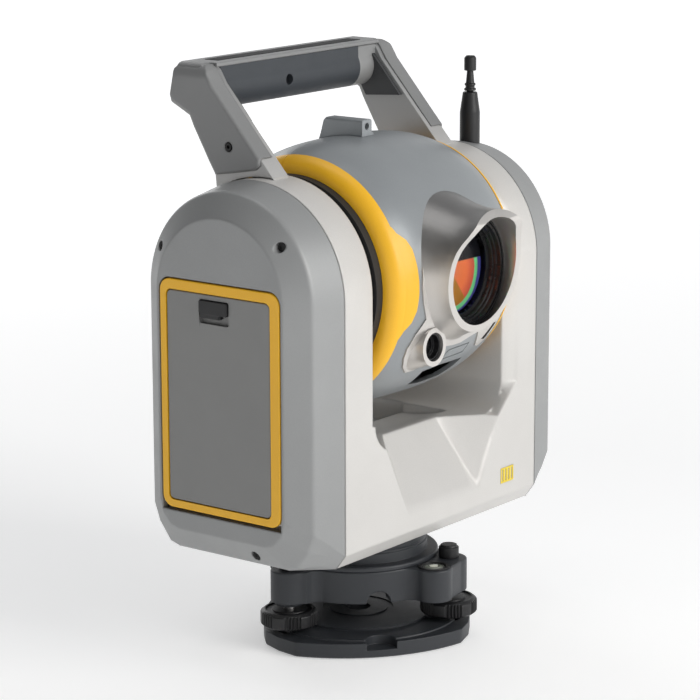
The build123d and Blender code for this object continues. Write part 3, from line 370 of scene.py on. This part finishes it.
def glass_with_painted_reflections(name, cx, cz):
    """Dark optical glass with painted reflections: orange, green, blue and violet zones stand in for light reflected
    from coated elements, and are also emitted so they glow.
    """
    m = Mat(name, (0.01, 0.01, 0.012), 0.12)
    sep = m.n.new("ShaderNodeSeparateXYZ")
    m.l.new(m.tc.outputs["Object"], sep.inputs[0])
    dx = m.math("SUBTRACT", sep.outputs[0], cx)
    dz = m.math("SUBTRACT", sep.outputs[2], cz)
    ex = m.math("ADD", dx, 0.0025)
    ez = m.math("ADD", dz, 0.001)
    rad = m.math("SQRT", m.math("ADD", m.math("MULTIPLY", ex, ex), m.math("MULTIPLY", ez, ez)), 0.0)
    wob = m.math("MULTIPLY", m.math("SUBTRACT", m.noise(35.0, 3.0), 0.5), 0.004)
    rr_ = m.math("DIVIDE", m.math("ADD", rad, wob), 0.0335)
    c = m.ramp(rr_, [(0.0, (0.40, 0.10, 0.03)), (0.45, (0.50, 0.11, 0.035)), (0.70, (0.34, 0.06, 0.04)), (0.735, (0.10, 0.42, 0.16)),
                     (0.80, (0.12, 0.40, 0.17)), (0.83, (0.045, 0.03, 0.16)), (0.91, (0.04, 0.045, 0.22)), (0.95, (0.005, 0.005, 0.008)), (1.0, (0.004, 0.004, 0.004))])
    # the painted reflection stops at a flat edge above the axis, so the upper part stays dark
    up = m.rng(ez, 0.0050, 0.0056, 0.0, 1.0)
    c = m.mix(up, c, (0.006, 0.006, 0.008))
    # painted reflections: a brown wedge low on the left and a small green patch high up
    w1 = m.math("ADD", m.math("MULTIPLY", dx, 0.75), m.math("MULTIPLY", dz, 0.55))
    wedge = m.math("MULTIPLY", m.rng(w1, -0.0032, -0.0025, 1.0, 0.0), m.rng(rr_, 0.69, 0.71, 1.0, 0.0))
    c = m.mix(m.math("MULTIPLY", wedge, 0.85), c, (0.20, 0.105, 0.012))
    px_ = m.math("ADD", dx, 0.001)
    pz_ = m.math("ADD", dz, -0.017)
    pr_ = m.math("SQRT", m.math("ADD", m.math("MULTIPLY", px_, px_), m.math("MULTIPLY", pz_, pz_)), 0.0)
    c = m.mix(m.rng(pr_, 0.002, 0.0055, 0.8, 0.0), c, (0.035, 0.10, 0.045))
    m.cur = c
    # painted light: the reflection pattern also feeds the emission, so the glass glows though it is no lamp
    m.l.new(c, m.p.inputs["Emission Color"])
    m.p.inputs["Emission Strength"].default_value = 0.55
    m.roughen(60.0, 0.03)
    return m.done()


M["coating"] = glass_with_painted_reflections("glass_with_painted_reflections", 0.0, LZ)

USE = {
    "base_plate": "charcoal", "spring_plate": "charcoal", "tribrach_body": "charcoal", "foot_bushes": "steel", "foot_caps": "black",
    "level_housing": "black", "level_vial": "vial", "instrument_base": "charcoal", "azimuth_bearings": "steel", "azimuth_stator": "copper",
    "data_connector": "steel", "foot_knob_a": "black", "foot_knob_b": "black", "foot_knob_c": "black", "foot_spindle_a": "steel",
    "foot_spindle_b": "steel", "foot_spindle_c": "steel", "lock_lever": "black", "clamp_ring": "steel", "yoke_housing": "silver",
    "azimuth_spindle": "steel", "azimuth_circle": "circle", "azimuth_rotor": "steel", "left_cover": "cover", "right_cover": "cover",
    "cover_gaskets": "rubber", "case_screws": "screw", "handle_frame": "handle", "handle_pad_left": "pad", "handle_pad_right": "pad",
    "handle_grip": "grip", "handle_inner_pads": "dark", "handle_top_strip": "rubber", "antenna_base": "black", "antenna_whip": "black",
    "battery_tray": "black", "battery": "door", "main_board": "pcb", "door_hinge_pin": "steel", "trunnion_bearings": "steel",
    "tilt_motor": "copper", "badge": "badge", "power_button": "black", "door_panel": "door", "door_frame": "yellow", "door_latch": "black",
    "drum_front_shell": "drum", "drum_rear_shell": "drum", "accent_rings": "yellow", "side_discs": "disc", "lens_hood": "nickel",
    "lens_tube": "black_gloss", "objective_lens": "lens", "camera_lens": "black_gloss", "sensor_windows": "window", "sight_bar": "drum",
    "telescope_frame": "alu", "tilt_circle": "circle", "edm_module": "alu", "scan_prism": "circle",
}
BEVEL = {
    "handle_frame": 0.0006, "base_plate": 0.0005,
    "tribrach_body": 0.0006, "instrument_base": 0.0005, "foot_caps": 0.0006, "lock_lever": 0.0005, "handle_top_strip": 0.0003,
    "antenna_base": 0.0003, "antenna_whip": 0.0003, "level_housing": 0.0003, "door_latch": 0.0004, "sight_bar": 0.0003,
    "foot_knob_a": 0.0003, "foot_knob_b": 0.0003, "foot_knob_c": 0.0003, "lens_tube": 0.0002, "camera_lens": 0.0002,
}


def dress(name, mat, bevel=None):
    o = NODES[name]
    me = o.data
    me.materials.clear()
    me.materials.append(mat)
    if "custom_normal" in me.attributes:
        me.attributes.remove(me.attributes["custom_normal"])
    for p in me.polygons:
        p.use_smooth = True
    w = o.modifiers.new("weld", "WELD")
    w.merge_threshold = 2e-6
    if bevel:
        b = o.modifiers.new("bevel", "BEVEL")
        b.width = bevel
        b.segments = 2
        b.limit_method = "ANGLE"
        b.angle_limit = math.radians(38)
        b.use_clamp_overlap = False
        b.miter_outer = "MITER_SHARP"
    es = o.modifiers.new("split", "EDGE_SPLIT")
    es.split_angle = math.radians(38 if not bevel else 46)
    es.use_edge_sharp = False
    wn_ = o.modifiers.new("wn", "WEIGHTED_NORMAL")
    wn_.weight = 50
    wn_.keep_sharp = True
    return o


for n, k in USE.items():
    dress(n, M[k], BEVEL.get(n))


# ---------------------------------------------------------------- added pieces
def new_obj(name, verts, faces, mat, smooth=True):
    me = bpy.data.meshes.new(name)
    me.from_pydata([tuple(v) for v in verts], [], faces)
    me.update()
    for p in me.polygons:
        p.use_smooth = smooth
    me.materials.append(mat)
    o = bpy.data.objects.new(name, me)
    scene.collection.objects.link(o)
    return o


def lathe_y(name, prof, cx, cz, mat, n=96):
    """prof: (radius, y) rows turned about the line x = cx, z = cz."""
    verts, faces = [], []
    for i in range(n):
        a = 2 * math.pi * i / n
        for r, y in prof:
            verts.append((cx + r * math.cos(a), y, cz + r * math.sin(a)))
    k = len(prof)
    for i in range(n):
        j = (i + 1) % n
        for q in range(k - 1):
            faces.append((i * k + q, i * k + q + 1, j * k + q + 1, j * k + q))
    return new_obj(name, verts, faces, mat)


# disc just inside the objective that carries the painted, glowing lens reflections
coat = lathe_y("objective_coating", [(0.0002, -0.0772), (0.010, -0.0773), (0.020, -0.0776), (0.0288, -0.0780), (0.0290, -0.0765)], 0.0, LZ, M["coating"])
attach(coat, "telescope")

fb = Mat("floor", (0.80, 0.80, 0.80), 0.9)
fb.mottle(2.0, 0.004)
fb.p.inputs["Emission Color"].default_value = (1, 1, 1, 1)
fb.p.inputs["Emission Strength"].default_value = 0.36
# brighter far away, so that the ground runs into the white room
f_len = fb.n.new("ShaderNodeVectorMath")
f_len.operation = "LENGTH"
fb.l.new(fb.tc.outputs["Object"], f_len.inputs[0])
fb.l.new(fb.rng(f_len.outputs["Value"], 0.5, 4.0, 0.38, 0.90), fb.p.inputs["Emission Strength"])
floor.data.materials.append(fb.done())
